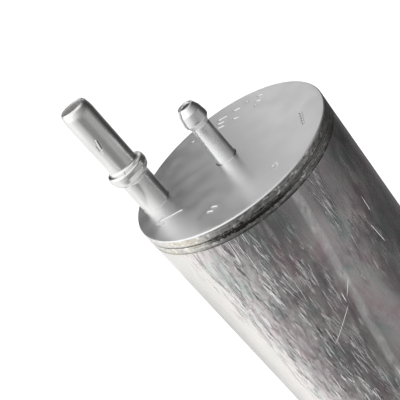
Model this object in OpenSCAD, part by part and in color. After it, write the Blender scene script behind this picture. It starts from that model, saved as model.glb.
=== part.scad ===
// Automotive in-line fuel filter with a pressure regulator built in.
// The origin is on the can's axis, half way along it. +Z points to the outlet end.

/* [Can] */
// Outside diameter of the can
can_d = 55; // [54:0.1:57]
// Length from the closed end's face to the lid's face
can_len = 150; // [140:1:180]
// Thickness of the can's wall
can_wall = 0.8; // [0.6:0.05:0.9]
// Outside radius of the corner at the closed end
can_corner = 5; // [4:0.5:7]

/* [Lid joint] */
// Thickness of the lid's plate
lid_t = 1.2; // [1:0.1:1.4]
// Height of the band round the joint, measured down from the lid's face
band_h = 4.1; // [3.8:0.1:5]
// Depth of the line rolled into the can below the band
line_depth = 0.25; // [0.15:0.05:0.4]
// Height of the rolled line
line_h = 0.5; // [0.3:0.1:0.8]
// Height of the lid's skirt
skirt_h = 2.3; // [2:0.1:2.6]
// Radius on the lid's outer edge
lid_edge = 0.5; // [0.2:0.1:0.7]
// Height of the weld between the skirt and the can's shoulder
weld_h = 0.4; // [0.3:0.05:0.6]
// Depth of the marks stamped in the lid
mark_depth = 0.15; // [0.1:0.05:0.3]

/* [Spigots] */
// Diameter of the inlet and outlet spigots, for a 5/16 inch quick connector
feed_d = 7.9; // [7.6:0.05:8.1]
// Diameter of the return spigot, for a 1/4 inch quick connector
return_d = 6.3; // [6:0.05:6.5]
// Wall thickness of the spigots
spigot_wall = 1; // [0.8:0.05:1.1]
// Length of the outlet spigot outside the lid
outlet_len = 32.4; // [28:0.1:36]
// Length of the inlet and return spigots outside the can
inlet_len = 30; // [28:0.1:36]
// Distance of a spigot's bead from the face that it stands on
bead_z = 11.5; // [9:0.1:12]
// Height of a spigot's bead above the tube
bead_rise = 1.5; // [1:0.1:1.6]
// Distance of the outlet spigot from the can's axis
outlet_x = 21.5; // [20:0.1:21.6]
// Distance of the inlet spigot from the can's axis
inlet_x = 17; // [16:0.1:17]

/* [Vent nipple] */
// Diameter of the nipple's stem at the lid
nipple_d = 5.56; // [5.2:0.02:5.8]
// Length of the nipple outside the lid
nipple_len = 17; // [15:0.1:19]
// Diameter over the nipple's barb
barb_d = 6.6; // [6.4:0.1:7]
// Diameter of the vent passage
vent_bore_d = 2.6; // [2:0.1:2.8]

/* [Filter element] */
// Number of pleats
pleats = 32; // [24:1:34]
// Outside diameter over the pleats
media_d = 49.2; // [48:0.1:49.2]
// Thickness of the filter medium
media_t = 0.36; // [0.3:0.02:0.4]
// Outside diameter of the perforated centre tube
core_d = 14.6; // [14:0.1:15]
// Diameter of the perforations
perforation_d = 3; // [2:0.1:3.4]
// Number of rows of perforations
perforation_rows = 10; // [6:1:12]

/* [Regulator] */
// Outside diameter of the regulator's spring housing
housing_d = 20.8; // [20:0.1:21]
// Diameter of the valve's ball
ball_d = 4.76; // [4.5:0.01:4.8]
// Diameter of the hole in the valve's seat
seat_bore_d = 3.2; // [2.8:0.1:3.3]
// Number of turns in the regulator's spring
spring_turns = 5; // [4:0.5:6]

/* [Hidden] */
$fn = 96;
coil_sides = 8;
gap = 0.05;             // clearance between pieces that are brazed, pressed or sealed together
slip = 0.02;            // clearance where a seal or coil touches its neighbour
plate = 0.8;            // sheet thickness of the end discs
top_z = can_len / 2;
bottom_z = -can_len / 2;
floor_z = bottom_z + can_wall;
lid_under_z = top_z - lid_t;
can_r = can_d / 2;
can_in_r = can_r - can_wall;
neck_r = can_in_r - gap;
neck_in_r = neck_r - can_wall;
skirt_z = top_z - skirt_h;
shoulder_z = skirt_z - weld_h;
band_z = top_z - band_h;
wall_top_z = band_z - line_h;
neck_z = shoulder_z - can_wall;

feed_r = feed_d / 2;
return_r = return_d / 2;
spigot_edge = 0.9;      // rounding of a spigot's tip
stub = 1.5;             // length of a feed spigot inside the shell
fillet = 0.5;           // leg of the braze fillets

// Marks stamped in the lid. A bar is its centre, its turn, its length and its width.
lid_bars = [
    [-0.1, 21.4, -10, 2.7, 0.45],
    [-0.7, 19.3, -17, 2.1, 0.45],
    [-0.9, 17.1, -19, 2.1, 0.45],
    [4.5, 21.2, -15, 2.1, 0.45],
    [3.9, 16.7, -28, 1.9, 0.45],
    [12.0, 20.7, -19, 1.6, 0.4],
    [11.1, 18.4, -18, 1.5, 0.4],
    [10.4, 16.4, -45, 1.6, 0.4],
    [-4.2, -18.7, -30, 1.7, 0.35],
    [-5.4, -19.6, -30, 1.7, 0.35]
];
lid_dots = [[7.8, 21.7], [-10, 19.1], [-7.4, 21.2]];
lid_dot_r = 0.35;
flow_arrow = [-17.2, -11.3, 174];
star_at = [12.3, -17];
star_size = 1.8;
thin_mark_w = 0.3;
edge_bars_at = [21.2, -4];
edge_bar_gap = 1.3;
nipple_r = nipple_d / 2;
barb_r = barb_d / 2;

// The element's end discs, from the regulator down and from the can's floor up
disc_top_z = lid_under_z - 27.8;
disc_low_z = floor_z + 13.2;
potting_h = 2;          // depth of the adhesive in each end disc
rim_h = 5;              // height of an end disc's rim
rim_in_r = media_d / 2 + 0.1;
rim_r = rim_in_r + 0.6;
land_r = neck_in_r - 0.15;
element_spring_r = 11;
element_wire_r = 0.8;
element_turns = 3.5;
media_top_z = disc_top_z - plate - potting_h;
media_low_z = disc_low_z + plate + potting_h;
core_r = core_d / 2;
core_wall = 0.5;
pleat_tip_r = media_d / 2 - media_t / 2;
pleat_root_r = core_r + 1.7;
pleat_tip_w = 0.76;     // half width of a fold at its tip
pleat_root_w = 0.54;    // half width of a fold at its root

// Seals, as the radius of their section
element_seal_r = (can_in_r - rim_r) / 2 - slip;
element_seal_z = disc_top_z - plate - 1.1;
collar_in_r = return_r + 1.95;
bore_seal_r = (collar_in_r - return_r) / 2 - slip;
socket_in_r = return_r + 1.25;
socket_r = socket_in_r + 1.2;
socket_seal_r = (socket_in_r - return_r) / 2 - slip;
socket_h = 8;
tube_low_z = floor_z + 3.2;
vent_stem_r = nipple_r - 0.18;
vent_seal_r = 0.85;
vent_collar_in_r = vent_stem_r + 2 * (vent_seal_r + slip);

// The regulator's heights, from the lid down
vent_flange_h = 1;
vent_flange_w = 2.2;
cover_top_z = lid_under_z - vent_flange_h;
cover_wall = 0.9;
collar_h = 1.9;
cover_plate_z = cover_top_z - collar_h - cover_wall;
clamp_z = cover_plate_z - 10.6;
clamp_h = 0.9;
base_flange_h = 1.2;
base_flange_z = clamp_z - clamp_h - base_flange_h;
base_flange_r = housing_d / 2 + 3.2;
base_r = housing_d / 2 + 0.8;
base_wall = 1;
crimp_r = base_flange_r + gap + cover_wall;
base_floor_z = disc_top_z + 3.2;
base_floor_t = 1.2;
port_z = base_floor_z + 4;
port_r = 1.6;
slot_w = 6;             // width of the slots through the base's foot
slot_h = 2.8;           // height of the slots above the end disc

// The valve's heights, from the diaphragm down to the seat
dish = 2.4;             // depth of the dished diaphragm at rest
rubber_t = 0.6;
plate_r = 8;            // radius of the plates that clamp the diaphragm's middle
seat_plate_z = clamp_z - dish;
seat_plate_t = 0.8;
seat_lip_h = 1.4;       // the spring seat's upturned rim
spring_r = 6.1;         // mean radius of the regulator's spring
spring_wire_r = 0.7;
holder_plate_t = 1;
holder_r = 4.2;         // outside radius of the holder round the ball
stem_r = 1.95;          // the holder's stem, through the diaphragm
stake_r = 3;            // the stem's end, staked over the spring seat
stake_h = 0.9;
holder_top_z = seat_plate_z - rubber_t;
ball_r = ball_d / 2;
ball_z = holder_top_z - holder_plate_t - ball_r - 0.5;
ball_pocket_r = ball_r + gap;
ball_lip = 0.8;         // how far the holder reaches below the ball's middle
seat_bore_r = seat_bore_d / 2;
seat_z = ball_z - sqrt(pow(ball_r, 2) - pow(seat_bore_r, 2)) - 0.01;
seat_head_h = 1.2;
tube_top_z = seat_z - seat_head_h;
tube_wall = 0.7;

// A ring of square section between two radii and two heights
module band(inner, outer, low, high) {
    rotate_extrude() translate([inner, low]) square([outer - inner, high - low]);
}

// An O-ring round the axis
module seal_ring(mean_r, section_r, z) {
    color("dimgray") translate([0, 0, z]) rotate_extrude() translate([mean_r, 0]) circle(section_r);
}

// A disc profile with one rounded corner at its upper outer edge
module rounded_profile(r, h, edge) {
    square([r, h - edge]);
    square([r - edge, h]);
    translate([r - edge, h - edge]) circle(edge);
}

// A quick-connector spigot, standing on z = 0 and reaching `inside` below it
module spigot(r, len, inside) {
    bead_section = bead_rise + 0.3;
    rotate_extrude() difference() {
        union() {
            translate([0, -inside]) square([r, inside + 1]);
            rounded_profile(r, len, spigot_edge);
            translate([r - 0.3, bead_z]) circle(bead_section);
        }
        translate([0, -inside - 1]) square([r - spigot_wall, len + inside + 2]);
    }
}

// A braze fillet round a tube of radius r that stands on z = 0
module braze_fillet(r) {
    rotate_extrude() polygon([[r + slip, 0], [r + fillet, 0], [r + slip, fillet]]);
}

// Points round a section of the wire, then along the coil, and the faces between them
function coil_ring(mean_r, wire_r, turn, z) =
    [for (side = [0 : coil_sides - 1])
        let (a = 360 * (side + 0.5) / coil_sides, r = mean_r + wire_r * cos(a))
        [r * cos(turn * 360), r * sin(turn * 360), z + wire_r * sin(a)]];

// A compression spring of round wire, with its outer surface from low to high
module coil_spring(mean_r, wire_r, turns, low, high) {
    steps = ceil(turns * 20);
    rise = high - low - 2 * wire_r;
    points = [for (i = [0 : steps])
        each coil_ring(mean_r, wire_r, turns * i / steps, low + wire_r + rise * i / steps)];
    sides = [for (i = [0 : steps - 1], s = [0 : coil_sides - 1])
        let (a = i * coil_sides + s, b = i * coil_sides + (s + 1) % coil_sides)
        [a, b, b + coil_sides, a + coil_sides]];
    start = [for (s = [0 : coil_sides - 1]) coil_sides - 1 - s];
    finish = [for (s = [0 : coil_sides - 1]) steps * coil_sides + s];
    polyhedron(points, concat([start], sides, [finish]));
}

module can() {
    color("silver") rotate_extrude() difference() {
        union() {
            translate([0, bottom_z + can_corner]) square([can_r, wall_top_z - bottom_z - can_corner]);
            translate([0, wall_top_z]) square([can_r - line_depth, line_h]);
            translate([0, bottom_z]) square([can_r - can_corner, can_corner]);
            translate([can_r - can_corner, bottom_z + can_corner]) circle(can_corner);
            translate([0, band_z]) square([can_r, shoulder_z - band_z]);
            translate([0, shoulder_z]) square([neck_r, lid_under_z - gap - shoulder_z]);
        }
        // The inside, with the hole for the return spigot
        translate([0, floor_z + can_corner - can_wall])
            square([can_in_r, neck_z - floor_z - can_corner + can_wall]);
        translate([0, floor_z]) square([can_r - can_corner, can_corner]);
        translate([can_r - can_corner, bottom_z + can_corner]) circle(can_corner - can_wall);
        translate([0, neck_z - 1]) square([neck_in_r, 10]);
        translate([0, bottom_z - 1]) square([return_r + gap, 5]);
    }
}

module can_drilled() {
    difference() {
        can();
        translate([-inlet_x, 0, bottom_z - 1]) cylinder(r = feed_r + gap, h = 3);
    }
}

// The marks' shapes, and the marks: a flow arrow by the outlet, plain bars, dots and a star
module bar_mark(x, y, angle, length, width) {
    translate([x, y, top_z - mark_depth]) rotate(angle)
        translate([-length / 2, -width / 2, 0]) cube([length, width, 1]);
}

module dot_mark(x, y, r) {
    translate([x, y, top_z - mark_depth]) cylinder(r = r, h = 1, $fn = 24);
}

module arrow_mark(x, y, angle) {
    translate([x, y, top_z - mark_depth]) rotate(angle) linear_extrude(1)
        polygon([[3.6, 0], [1, 1.7], [1, 0.5], [-3.6, 0.5], [-3.6, -0.5], [1, -0.5], [1, -1.7]]);
}

module lid_marks() {
    arrow_mark(flow_arrow[0], flow_arrow[1], flow_arrow[2]);
    for (m = lid_bars) bar_mark(m[0], m[1], m[2], m[3], m[4]);
    for (p = lid_dots) dot_mark(p[0], p[1], lid_dot_r);
    for (i = [0 : 3]) bar_mark(star_at[0], star_at[1], 45 * i, star_size, thin_mark_w);
    for (i = [-2 : 2])
        bar_mark(edge_bars_at[0], edge_bars_at[1] + edge_bar_gap * i, 90, 0.8, thin_mark_w);
}

module lid() {
    color("silver") difference() {
        rotate_extrude() difference() {
            translate([0, skirt_z]) rounded_profile(can_r, skirt_h, lid_edge);
            translate([0, skirt_z - 1]) square([can_in_r, skirt_h - lid_t + 1]);
            translate([0, skirt_z - 1]) square([nipple_r + gap, skirt_h + 2]);
        }
        translate([-outlet_x, 0, skirt_z - 1]) cylinder(r = feed_r + gap, h = skirt_h + 2);
        lid_marks();
    }
}

module seam_weld() {
    color("darkgray") band(can_in_r, can_r, shoulder_z, skirt_z);
}

module outlet_spigot() {
    color("silver") translate([-outlet_x, 0, top_z]) spigot(feed_r, outlet_len, lid_t + stub);
}

module inlet_spigot() {
    color("silver") translate([-inlet_x, 0, bottom_z]) rotate([180, 0, 0])
        spigot(feed_r, inlet_len, can_wall + stub);
}

// The return spigot's inner end is a socket for the return tube
module return_spigot() {
    color("silver") translate([0, 0, bottom_z]) rotate([180, 0, 0]) {
        spigot(return_r, inlet_len, can_wall);
        band(return_r - spigot_wall, socket_r, -can_wall - 1.2, -can_wall);
        band(socket_in_r, socket_r, -can_wall - socket_h, -can_wall - 1.2);
    }
}

module vent_nipple() {
    outline = [[nipple_r, 0], [nipple_r - 0.36, 10.7], [barb_r, 12.5], [barb_r, 13],
               [nipple_r - 0.75, nipple_len - 0.2], [nipple_r - 0.95, nipple_len]];
    color("silver") rotate_extrude() difference() {
        union() {
            translate([0, top_z])
                polygon(concat([[0, 0]], outline, [[0, nipple_len]]));
            translate([0, lid_under_z]) square([nipple_r, lid_t]);
            translate([0, cover_top_z]) square([nipple_r + vent_flange_w, vent_flange_h]);
            translate([0, cover_plate_z]) square([vent_stem_r, cover_top_z - cover_plate_z]);
        }
        translate([0, cover_plate_z - 1]) square([vent_bore_d / 2, 50]);
    }
}

module braze_fillets() {
    color("darkkhaki") {
        translate([-outlet_x, 0, top_z]) braze_fillet(feed_r);
        translate([0, 0, top_z]) braze_fillet(nipple_r);
        translate([-inlet_x, 0, bottom_z]) rotate([180, 0, 0]) braze_fillet(feed_r);
        translate([0, 0, bottom_z]) rotate([180, 0, 0]) braze_fillet(return_r);
    }
}

// The upper end disc parts the dirty side from the clean side, and carries the element's seal
module upper_end_disc() {
    under = disc_top_z - plate;
    color("lightsteelblue") {
        band(core_r, land_r, under, disc_top_z);
        band(rim_in_r, rim_r, disc_top_z - rim_h, under);
        band(rim_r, land_r, element_seal_z - 1.5, element_seal_z - 1.1);
    }
}

module lower_end_disc() {
    upper = disc_low_z + plate;
    color("lightsteelblue") {
        band(return_r + gap, rim_r, disc_low_z, upper);
        band(rim_in_r, rim_r, upper, disc_low_z + rim_h);
        band(collar_in_r, collar_in_r + plate, upper, upper + 3.2);
        band(return_r + gap, collar_in_r, upper + 2.4, upper + 3.2);
    }
}

// One side of the pleated medium; side is 1 for its outer face and -1 for its inner face
function pleat_outline(side) =
    let (half = side * media_t / 2, tip = pleat_tip_r + half, root = pleat_root_r + half,
         tip_w = pleat_tip_w + half, root_w = pleat_root_w + half)
    [for (i = [0 : pleats - 1], p = [[root, -root_w], [tip, -tip_w], [tip, tip_w], [root, root_w]])
        let (a = 360 * i / pleats) [p[0] * cos(a) - p[1] * sin(a), p[0] * sin(a) + p[1] * cos(a)]];

module filter_media() {
    color("wheat") translate([0, 0, media_low_z]) linear_extrude(media_top_z - media_low_z)
        difference() {
            polygon(pleat_outline(1));
            polygon(pleat_outline(-1));
        }
}

module media_adhesive() {
    color("khaki") {
        band(core_r + gap, rim_in_r, media_top_z, media_top_z + potting_h);
        band(core_r + gap, rim_in_r, media_low_z - potting_h, media_low_z);
    }
}

module centre_tube() {
    low = disc_low_z + plate;
    high = disc_top_z - plate;
    pitch = (high - low - 12) / perforation_rows;
    color("gainsboro") difference() {
        band(core_r - core_wall, core_r, low, high);
        for (row = [0 : perforation_rows - 1], a = [0 : 60 : 120])
            translate([0, 0, low + 6 + pitch * (row + 0.5)]) rotate([0, 90, a + 30 * (row % 2)])
                cylinder(d = perforation_d, h = 3 * core_r, center = true);
    }
}

module element_seal() {
    seal_ring(rim_r + element_seal_r + slip, element_seal_r, element_seal_z);
}

module element_bore_seal() {
    seal_ring(return_r + bore_seal_r + slip, bore_seal_r, disc_low_z + plate + 1.2);
}

module element_spring() {
    color("gray") coil_spring(element_spring_r, element_wire_r, element_turns,
                              floor_z + slip, disc_low_z - slip);
}

module return_tube() {
    color("silver") band(return_r - tube_wall, return_r, tube_low_z, tube_top_z);
}

module return_socket_seal() {
    seal_ring(return_r + socket_seal_r + slip, socket_seal_r, floor_z + 5.6);
}

// The regulator's lower half: a flanged cup on a slotted foot, with ports in its wall
module regulator_base() {
    color("silver") difference() {
        rotate_extrude() difference() {
            union() {
                translate([0, disc_top_z + slip]) square([base_r, clamp_z - clamp_h - disc_top_z - slip]);
                translate([0, base_flange_z]) square([base_flange_r, base_flange_h]);
            }
            translate([0, base_floor_z + base_floor_t]) square([base_r - base_wall, 20]);
            translate([0, disc_top_z - 1]) square([base_r - base_wall, base_floor_z - disc_top_z + 1]);
            translate([0, base_floor_z - 1]) square([return_r + gap, 5]);
        }
        for (a = [30 : 60 : 150]) translate([0, 0, port_z]) rotate([0, 90, a])
            cylinder(r = port_r, h = 3 * base_r, center = true);
        for (a = [45, 135]) rotate(a)
            translate([-20, -slot_w / 2, disc_top_z - 1]) cube([40, slot_w, slot_h + 1]);
    }
}

// The regulator's upper half: the spring housing, crimped round the base's flange
module regulator_cover() {
    shell_r = housing_d / 2;
    crimp_z = base_flange_z - cover_wall - gap;
    color("silver") {
        band(vent_stem_r + gap, shell_r, cover_plate_z, cover_plate_z + cover_wall);
        band(vent_collar_in_r, vent_collar_in_r + cover_wall, cover_plate_z + cover_wall, cover_top_z);
        band(shell_r - cover_wall, shell_r, clamp_z, cover_plate_z);
        band(shell_r - cover_wall, crimp_r, clamp_z, clamp_z + cover_wall);
        band(crimp_r - cover_wall, crimp_r, crimp_z, clamp_z);
        band(base_r + 0.6, crimp_r, crimp_z, crimp_z + cover_wall);
    }
}

module regulator_screen() {
    color("slategray") band(base_r + gap, base_r + 0.3, port_z - 2.2, port_z + 2.2);
}

module vent_seal() {
    seal_ring(vent_stem_r + vent_seal_r + slip, vent_seal_r,
              cover_plate_z + cover_wall + vent_seal_r + slip);
}

// A dished sheet, clamped at its rim and carried at its middle by the valve's plates
module diaphragm() {
    inner = base_r - base_wall - 0.4;
    color("saddlebrown") rotate_extrude()
        polygon([[stem_r + 0.15, seat_plate_z], [plate_r + 0.1, seat_plate_z], [inner, clamp_z - slip],
                 [base_flange_r - gap, clamp_z - slip],
                 [base_flange_r - gap, clamp_z - clamp_h + slip],
                 [inner - 0.1, clamp_z - clamp_h + slip],
                 [plate_r + 0.1, holder_top_z], [stem_r + 0.15, holder_top_z]]);
}

module regulator_spring() {
    color("gray") coil_spring(spring_r, spring_wire_r, spring_turns,
                              seat_plate_z + seat_plate_t + slip, cover_plate_z - slip);
}

module spring_seat() {
    upper = seat_plate_z + seat_plate_t;
    color("silver") {
        band(stem_r + gap, plate_r, seat_plate_z + gap / 2, upper);
        band(plate_r - seat_plate_t, plate_r, upper, upper + seat_lip_h);
    }
}

// The holder's stem passes up through the diaphragm and is staked over the spring seat
module valve_holder() {
    head_z = seat_plate_z + seat_plate_t;
    color("darkgray") difference() {
        rotate_extrude() {
            translate([0, ball_z - ball_lip]) square([holder_r, holder_top_z - gap / 2 - ball_z + ball_lip]);
            translate([0, holder_top_z - holder_plate_t])
                square([plate_r, holder_plate_t - gap / 2]);
            translate([0, holder_top_z - 0.5]) square([stem_r, head_z - holder_top_z + 0.5]);
            translate([0, head_z]) square([stake_r, stake_h]);
        }
        translate([0, 0, ball_z]) sphere(ball_pocket_r);
    }
}

module valve_ball() {
    color("silver") translate([0, 0, ball_z]) sphere(ball_r);
}

module valve_seat() {
    color("goldenrod") {
        band(seat_bore_r, return_r, tube_top_z, seat_z);
        band(seat_bore_r, return_r - tube_wall - slip, tube_top_z - 3, tube_top_z);
    }
}

can_drilled();  // can
lid();
seam_weld();
outlet_spigot();
inlet_spigot();
return_spigot();
vent_nipple();
braze_fillets();
upper_end_disc();
lower_end_disc();
filter_media();
media_adhesive();
centre_tube();
element_seal();
element_bore_seal();
element_spring();
return_tube();
return_socket_seal();
regulator_base();
regulator_cover();
regulator_screen();
vent_seal();
diaphragm();
regulator_spring();
spring_seat();
valve_holder();
valve_ball();
valve_seat();
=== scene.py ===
"""Looks for the fuel filter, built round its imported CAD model. Lengths are in metres."""

import math

import bmesh
import bpy
from mathutils import Matrix, Vector, noise
from mathutils.geometry import delaunay_2d_cdt


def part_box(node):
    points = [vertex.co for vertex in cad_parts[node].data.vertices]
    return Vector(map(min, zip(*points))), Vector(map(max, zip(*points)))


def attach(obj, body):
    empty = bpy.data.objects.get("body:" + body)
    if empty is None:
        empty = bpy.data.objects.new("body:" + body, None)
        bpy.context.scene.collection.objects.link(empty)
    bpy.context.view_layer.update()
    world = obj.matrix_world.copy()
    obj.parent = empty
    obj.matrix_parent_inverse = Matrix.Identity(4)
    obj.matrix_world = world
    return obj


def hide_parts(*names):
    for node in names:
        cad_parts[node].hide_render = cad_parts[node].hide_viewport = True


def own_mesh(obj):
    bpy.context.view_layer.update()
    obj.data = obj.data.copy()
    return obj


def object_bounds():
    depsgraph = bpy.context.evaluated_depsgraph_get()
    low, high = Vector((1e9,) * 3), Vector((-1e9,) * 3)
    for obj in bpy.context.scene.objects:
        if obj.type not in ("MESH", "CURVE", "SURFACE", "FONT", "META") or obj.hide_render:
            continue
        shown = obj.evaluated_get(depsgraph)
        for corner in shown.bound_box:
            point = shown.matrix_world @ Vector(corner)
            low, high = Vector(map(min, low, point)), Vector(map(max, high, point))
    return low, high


MM = 0.001
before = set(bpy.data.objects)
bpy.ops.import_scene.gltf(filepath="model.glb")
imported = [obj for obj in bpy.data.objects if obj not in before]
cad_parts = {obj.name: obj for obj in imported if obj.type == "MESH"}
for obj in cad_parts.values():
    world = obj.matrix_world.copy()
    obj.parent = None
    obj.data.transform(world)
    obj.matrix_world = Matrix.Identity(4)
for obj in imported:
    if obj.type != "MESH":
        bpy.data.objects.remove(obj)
CAD_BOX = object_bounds()
CANISTER = "canister"

# ---- sizes
# From the frame: the lid's and the can's faces, the can's radius, and the seam between skirt and shoulder
LID_LOW, LID_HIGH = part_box("lid")
CAN_LOW, CAN_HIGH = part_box("can")
WELD_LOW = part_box("seam_weld")[0]
TOP_Z = LID_HIGH.z
BOTTOM_Z = CAN_LOW.z
CAN_R = min(CAN_HIGH.x, CAN_HIGH.y)
SKIRT_Z = LID_LOW.z
SHOULDER_Z = WELD_LOW.z

# The design's other sizes, which no box in the frame shows
CAN_WALL = 0.8 * MM
CAN_CORNER = 5 * MM
# The can's rim ends below in a groove at BAND_Z
BAND_Z = TOP_Z - 4.1 * MM
GROOVE_DEPTH = 0.25 * MM
GROOVE_H = 0.5 * MM
LID_T = 1.2 * MM
# Rounding of the lid's edge, and the broken edges of its skirt and of the can's rim
LID_EDGE = 0.32 * MM
SKIRT_BREAK = 0.15 * MM
EDGE_BREAK = 0.12 * MM
BRAZE_GAP = 0.05 * MM
CAN_INNER_R = CAN_R - CAN_WALL
NECK_R = CAN_INNER_R - BRAZE_GAP
NECK_INNER_R = NECK_R - CAN_WALL

SPIGOT_WALL = 1.0 * MM
BEAD_HEIGHT = 11.5 * MM
BEAD_RISE = 1.5 * MM

# Steps round the can and the lid, their holes and the small tubes, the feed tubes and other pieces
RING_STEPS = 384
HOLE_STEPS = 128
TUBE_STEPS = 160
WELD_STEPS = 1024
DIAPHRAGM_STEPS = 192
CORNER_STEPS = 8
# Vertices closer than this are one
MERGE = 0.004 * MM


def spigot_place(node):
    """Centre in X and tube radius of a spigot, from its box: the bead is its widest ring."""
    low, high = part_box(node)
    return (low.x + high.x) / 2, (high.y - low.y) / 2 - BEAD_RISE


OUTLET_X, FEED_R = spigot_place("outlet_spigot")
INLET_X = spigot_place("inlet_spigot")[0]
RETURN_R = 3.15 * MM
NIPPLE_R = 2.78 * MM


# ---- helpers for numbers and meshes
def eased(share):
    """A share held within 0 and 1, and eased at both ends."""
    share = min(1.0, max(0.0, share))
    return share * share * (3 - 2 * share)


def polar(r, a):
    """The point at radius r and angle a, in radians."""
    return r * math.cos(a), r * math.sin(a)


def arc(cx, cy, radius, start, stop, steps):
    """Points on an arc in a profile's plane; angles in degrees, 0 points away from the axis."""
    angles = [math.radians(start + (stop - start) * i / steps) for i in range(steps + 1)]
    return [(cx + x, cy + y) for x, y in (polar(radius, a) for a in angles)]


def rounded(corners):
    """A closed profile through (r, z, radius) corners, each turned with an arc of its own radius."""
    points = []
    for i, (x, y, radius) in enumerate(corners):
        if radius == 0:
            points.append((x, y))
            continue
        here = Vector((x, y))
        to_last = (Vector(corners[i - 1][:2]) - here).normalized()
        to_next = (Vector(corners[(i + 1) % len(corners)][:2]) - here).normalized()
        half = to_last.angle(to_next) / 2
        reach = radius / math.tan(half)
        centre = here + (to_last + to_next).normalized() * (radius / math.sin(half))
        first = here + to_last * reach - centre
        last = here + to_next * reach - centre
        turn = first.angle_signed(last)
        for k in range(CORNER_STEPS + 1):
            spoke = first.copy()
            spoke.rotate(Matrix.Rotation(-turn * k / CORNER_STEPS, 2))
            points.append(tuple(centre + spoke))
    return points


def subdivided(profile, longest):
    """The profile with extra points, so that no stretch is longer than `longest`."""
    points = [profile[0]]
    for (r0, z0), (r1, z1) in zip(profile, profile[1:]):
        parts = max(1, math.ceil(math.hypot(r1 - r0, z1 - z0) / longest))
        for k in range(1, parts + 1):
            points.append((r0 + (r1 - r0) * k / parts, z0 + (z1 - z0) * k / parts))
    return points


def loft(bm, rings, closed=False, capped=False):
    """Joins rings of vertices one after another, and the last to the first, or both ends with caps."""
    for first, second in zip(rings, rings[1:] + rings[:1] if closed else rings[1:]):
        for i in range(len(first)):
            j = (i + 1) % len(first)
            bm.faces.new((first[i], first[j], second[j], second[i]))
    if capped:
        bm.faces.new(rings[0])
        bm.faces.new(reversed(rings[-1]))


def revolve(bm, profile, steps, centre=(0.0, 0.0), closed=True, shift=None):
    """Adds the surface that the profile sweeps round a vertical axis through the centre.
    shift(angle, r, z) moves a point outward, by metres."""
    rings = []
    for r, z in profile:
        ring = []
        for i in range(steps):
            a = 2 * math.pi * i / steps
            x, y = polar(r + (shift(a, r, z) if shift else 0.0), a)
            ring.append(bm.verts.new((centre[0] + x, centre[1] + y, z)))
        rings.append(ring)
    loft(bm, rings, closed)


def second_material(bm, test):
    """Gives the second material to the faces whose middle passes the test."""
    for face in bm.faces:
        face.material_index = int(test(face.calc_center_median()))


def mesh_of(bm, name):
    """Turns the bmesh into a mesh."""
    mesh = bpy.data.meshes.new(name)
    bm.to_mesh(mesh)
    bm.free()
    return mesh


def in_scene(name, data):
    """A new object in the scene."""
    thing = bpy.data.objects.new(name, data)
    bpy.context.scene.collection.objects.link(thing)
    return thing


def finished(bm, name, materials, node, sharp=40):
    """Turns the bmesh into a smooth-shaded piece that rides on the canister in a CAD node's place.
    Edges sharper than `sharp` degrees stay sharp."""
    bmesh.ops.recalc_face_normals(bm, faces=bm.faces)
    mesh = mesh_of(bm, name)
    mesh.shade_smooth()
    mesh.set_sharp_from_angle(angle=math.radians(sharp))
    for material in materials:
        mesh.materials.append(material)
    piece = in_scene(name, mesh)
    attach(piece, CANISTER)
    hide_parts(node)
    return piece


# ---- shader helpers
EVEN = (1, 1, 1)


def new_material(name):
    material = bpy.data.materials.new(name)
    material.use_nodes = True
    return material


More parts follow.
